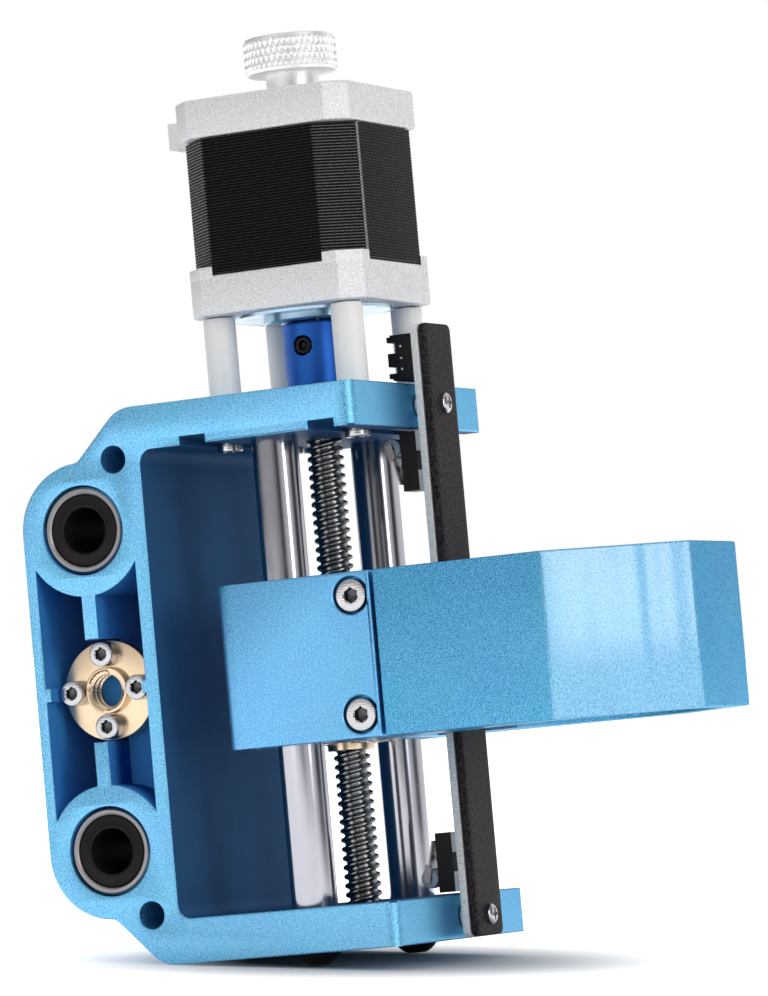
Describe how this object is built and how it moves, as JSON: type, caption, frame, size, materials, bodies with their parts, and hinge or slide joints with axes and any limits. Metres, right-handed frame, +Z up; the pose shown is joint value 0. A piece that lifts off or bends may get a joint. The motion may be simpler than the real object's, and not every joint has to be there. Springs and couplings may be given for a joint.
{
  "type": "cnc z-axis module",
  "caption": "Motorised vertical slide: extruded aluminium frame with cross-rod bearing bores, lead screw, guide rods, spindle clamp and limit switches.",
  "frame": {"origin": "bottom centre of the bounding box, level with the two rod-end screw heads; the lead screw's axis is at Y 15.35 mm", "axes": "+Z up along the lead screw, +X along the frame extrusion and its cross rods, -Y towards the spindle clamp"},
  "size_m": [0.0744, 0.1484, 0.2043],
  "materials": {
    "blue_anodised": "bead-blasted anodised",
    "coupling_blue": "satin anodised",
    "polished_steel": "polished",
    "dark_steel": "machined",
    "black_oxide": "black oxide",
    "brass": "machined",
    "cast_aluminium": "as cast",
    "lamination": "painted laminations",
    "bright_aluminium": "knurled",
    "white_plastic": "moulded",
    "black_plastic": "textured",
    "board_edge": "routed edge",
    "grey_plastic": "moulded"
  },
  "bodies": {
    "frame": {"frame_extrusion": "blue_anodised", "guide_rod_left": "polished_steel", "guide_rod_right": "polished_steel", "x_bearing_1": "polished_steel", "x_bearing_2": "polished_steel", "x_bearing_3": "polished_steel", "x_bearing_4": "polished_steel", "motor_bearing_1": "polished_steel", "motor_bearing_2": "polished_steel", "screw_bearing_outer_ring": "polished_steel", "motor_mount_screw_1": "polished_steel", "motor_mount_screw_2": "polished_steel", "motor_mount_screw_3": "polished_steel", "motor_mount_screw_4": "polished_steel", "board_screw_1": "polished_steel", "board_screw_2": "polished_steel", "rod_end_screw_1": "black_oxide", "rod_end_screw_2": "black_oxide", "x_nut": "brass", "motor_front_bell": "cast_aluminium", "motor_rear_bell": "cast_aluminium", "motor_stator": "lamination", "motor_standoff_1": "white_plastic", "motor_standoff_2": "white_plastic", "motor_standoff_3": "white_plastic", "motor_standoff_4": "white_plastic", "board_spacer_1": "white_plastic", "board_spacer_2": "white_plastic", "motor_connector": "white_plastic", "board_cover": "black_plastic", "board_connector": "black_plastic", "upper_switch_body": "black_plastic", "lower_switch_body": "black_plastic", "limit_board": "board_edge"},
    "slider": {"carriage_block": "blue_anodised", "spindle_clamp": "blue_anodised", "clamp_screw_1": "polished_steel", "clamp_screw_2": "polished_steel", "clamp_screw_3": "polished_steel", "clamp_screw_4": "polished_steel", "z_bearing_1": "polished_steel", "z_bearing_2": "polished_steel", "z_nut": "brass"},
    "drive": {"leadscrew": "dark_steel", "shaft_coupling": "coupling_blue", "coupling_set_screw_1": "black_oxide", "coupling_set_screw_2": "black_oxide", "motor_shaft": "polished_steel", "motor_rotor": "dark_steel", "hand_knob": "bright_aluminium", "knob_set_screw": "black_oxide", "screw_bearing_inner_ring": "polished_steel"},
    "upper_lever": {"upper_switch_lever": "polished_steel"},
    "upper_roller": {"upper_switch_roller": "grey_plastic"},
    "upper_plunger": {"upper_switch_plunger": "black_plastic"},
    "lower_lever": {"lower_switch_lever": "polished_steel"},
    "lower_roller": {"lower_switch_roller": "grey_plastic"},
    "lower_plunger": {"lower_switch_plunger": "black_plastic"}
  },
  "joints": [
    {"name": "z_travel", "type": "slide", "parent": "frame", "child": "slider", "axis": [0, 0, 1], "range_m": [-0.029, 0.025]},
    {"name": "screw_spin", "type": "hinge", "parent": "frame", "child": "drive", "pos_m": [0, 0.01535, 0.0638], "axis": [0, 0, 1], "range_deg": [-2260, 2620]},
    {"name": "upper_lever_press", "type": "hinge", "parent": "frame", "child": "upper_lever", "pos_m": [0, -0.00335, 0.1028], "axis": [1, 0, 0], "range_deg": [0, 3], "stiffness_Nm_per_rad": 0.01, "springref_deg": -5.73},
    {"name": "upper_roller_spin", "type": "hinge", "parent": "upper_lever", "child": "upper_roller", "pos_m": [0, -0.0015, 0.111], "axis": [1, 0, 0], "continuous": true},
    {"name": "upper_plunger_press", "type": "slide", "parent": "frame", "child": "upper_plunger", "axis": [0, -1, 0], "range_m": [0, 0.0003]},
    {"name": "lower_lever_press", "type": "hinge", "parent": "frame", "child": "lower_lever", "pos_m": [0, -0.00335, 0.0248], "axis": [-1, 0, 0], "range_deg": [0, 3], "stiffness_Nm_per_rad": 0.01, "springref_deg": -5.73},
    {"name": "lower_roller_spin", "type": "hinge", "parent": "lower_lever", "child": "lower_roller", "pos_m": [0, -0.0015, 0.0166], "axis": [1, 0, 0], "continuous": true},
    {"name": "lower_plunger_press", "type": "slide", "parent": "frame", "child": "lower_plunger", "axis": [0, -1, 0], "range_m": [0, 0.0003]}
  ],
  "couplings": [
    {"joint": "screw_spin", "follows": "z_travel", "rad_per_m": -1570.8},
    {"joint": "upper_plunger_press", "follows": "upper_lever_press", "m_per_rad": 0.004},
    {"joint": "lower_plunger_press", "follows": "lower_lever_press", "m_per_rad": 0.004}
  ]
}
